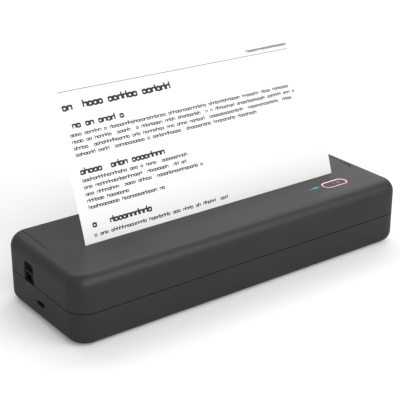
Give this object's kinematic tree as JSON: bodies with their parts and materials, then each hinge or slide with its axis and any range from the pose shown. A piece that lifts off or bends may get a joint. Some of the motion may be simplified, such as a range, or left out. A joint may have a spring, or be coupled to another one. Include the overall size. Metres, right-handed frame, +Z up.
{
  "type": "a4 portable thermal printer",
  "caption": "Slim portable thermal printer for A4 paper with a rear cover that hinges open, a paper roll, a platen drive, a tilting print head and a printed sheet in its slot.",
  "frame": {"origin": "on the floor plane, below the middle of the case", "axes": "+X along the length to the right as seen from the front, -Y the front, +Z up"},
  "size_m": [0.273, 0.093, 0.1476],
  "materials": {
    "case_plastic": "fine satin texture",
    "foot_rubber": "matt",
    "steel": "bright",
    "zinc_sheet": "zinc plated",
    "heat_sink": "satin",
    "ceramic": "glazed",
    "driver_cover": "glossy",
    "flex_film": "amber film",
    "board_green": "solder mask",
    "cell_wrap": "shrink wrap",
    "black_plastic": "matt",
    "button_plastic": "satin",
    "gear_plastic": "natural acetal",
    "pinion_brass": "machined",
    "switch_metal": "plain",
    "light_blue": "lit blue window",
    "light_pink": "lit ring",
    "white_paper": "smooth coated",
    "core_card": "plain"
  },
  "bodies": {
    "case": {"base_shell": "case_plastic", "top_shell": "case_plastic", "rubber_feet": "foot_rubber", "case_screws": "steel", "side_plate_left": "zinc_sheet", "side_plate_right": "zinc_sheet", "frame_screws": "steel", "head_rod": "steel", "pressure_bar": "zinc_sheet", "head_springs": "steel", "battery_tray": "black_plastic", "battery_cells": "cell_wrap", "main_board": "board_green", "board_chips": "driver_cover", "board_screws": "steel", "io_board": "board_green", "charge_socket": "steel", "button_board": "board_green", "power_switch": "switch_metal", "status_light": "light_blue", "light_ring": "light_pink", "motor_body": "zinc_sheet", "gear_studs": "steel", "gear_clips": "steel", "paper_sensor": "driver_cover", "tear_bar": "steel", "hinge_pins": "steel", "paper_web": "white_paper"},
    "cover": {"rear_cover": "case_plastic", "platen_bracket": "zinc_sheet", "bracket_screws": "steel", "platen_bushes": "gear_plastic"},
    "platen": {"platen_shaft": "steel", "platen_sleeve": "foot_rubber", "platen_gear": "gear_plastic", "platen_clip": "steel"},
    "idler": {"idler_gear": "gear_plastic"},
    "reduction": {"reduction_gear": "gear_plastic"},
    "rotor": {"motor_pinion": "pinion_brass"},
    "roll": {"paper_roll": "white_paper", "roll_core": "core_card", "roll_hub_left": "black_plastic", "roll_hub_right": "black_plastic"},
    "sheet": {"printed_sheet": "white_paper"},
    "head": {"head_ceramic": "ceramic", "head_heatsink": "heat_sink", "head_drivers": "driver_cover", "head_ribbon": "flex_film"},
    "latch": {"latch_shaft": "steel", "latch_hook_left": "zinc_sheet", "latch_hook_right": "zinc_sheet", "latch_lever": "gear_plastic", "latch_spring": "steel"},
    "release": {"release_slide": "black_plastic"},
    "button": {"power_button": "button_plastic"}
  },
  "joints": [
    {"name": "cover_hinge", "type": "hinge", "parent": "case", "child": "cover", "pos_m": [0, 0.0426, 0.0282], "axis": [-1, 0, 0], "range_deg": [0, 90]},
    {"name": "platen_spin", "type": "hinge", "parent": "cover", "child": "platen", "pos_m": [0, -0.00437, 0.03463], "axis": [1, 0, 0], "continuous": true},
    {"name": "idler_spin", "type": "hinge", "parent": "case", "child": "idler", "pos_m": [0, -0.00597, 0.023], "axis": [1, 0, 0], "continuous": true},
    {"name": "reduction_spin", "type": "hinge", "parent": "case", "child": "reduction", "pos_m": [0, -0.01625, 0.01798], "axis": [1, 0, 0], "continuous": true},
    {"name": "motor_spin", "type": "hinge", "parent": "case", "child": "rotor", "pos_m": [0, -0.02814, 0.0137], "axis": [1, 0, 0], "continuous": true},
    {"name": "roll_spin", "type": "hinge", "parent": "case", "child": "roll", "pos_m": [0, 0.022, 0.02], "axis": [1, 0, 0], "continuous": true},
    {"name": "sheet_feed", "type": "slide", "parent": "cover", "child": "sheet", "axis": [0, 0.2788, 0.9603], "range_m": [0, 0.012]},
    {"name": "head_tilt", "type": "hinge", "parent": "case", "child": "head", "pos_m": [0, -0.01594, 0.02637], "axis": [1, 0, 0], "range_deg": [0, 3], "stiffness_Nm_per_rad": 2, "springref_deg": -1.15, "deforming": ["head_springs"]},
    {"name": "latch_turn", "type": "hinge", "parent": "case", "child": "latch", "pos_m": [0, -0.002, 0.012], "axis": [-1, 0, 0], "range_deg": [0, 9.68], "stiffness_Nm_per_rad": 0.3, "springref_deg": -5.73},
    {"name": "release_press", "type": "slide", "parent": "case", "child": "release", "axis": [0, 0, -1], "range_m": [0, 0.00265]},
    {"name": "power_press", "type": "slide", "parent": "case", "child": "button", "axis": [0, 0, -1], "range_m": [0, 0.0008], "stiffness_N_per_m": 400, "springref_m": -0.0005}
  ],
  "couplings": [
    {"joint": "idler_spin", "follows": "platen_spin", "ratio": -0.625},
    {"joint": "reduction_spin", "follows": "platen_spin", "ratio": 1.0714},
    {"joint": "motor_spin", "follows": "platen_spin", "ratio": -2.6786},
    {"joint": "roll_spin", "follows": "platen_spin", "ratio": 0.33333},
    {"joint": "release_press", "follows": "latch_turn", "m_per_rad": 0.0148}
  ]
}
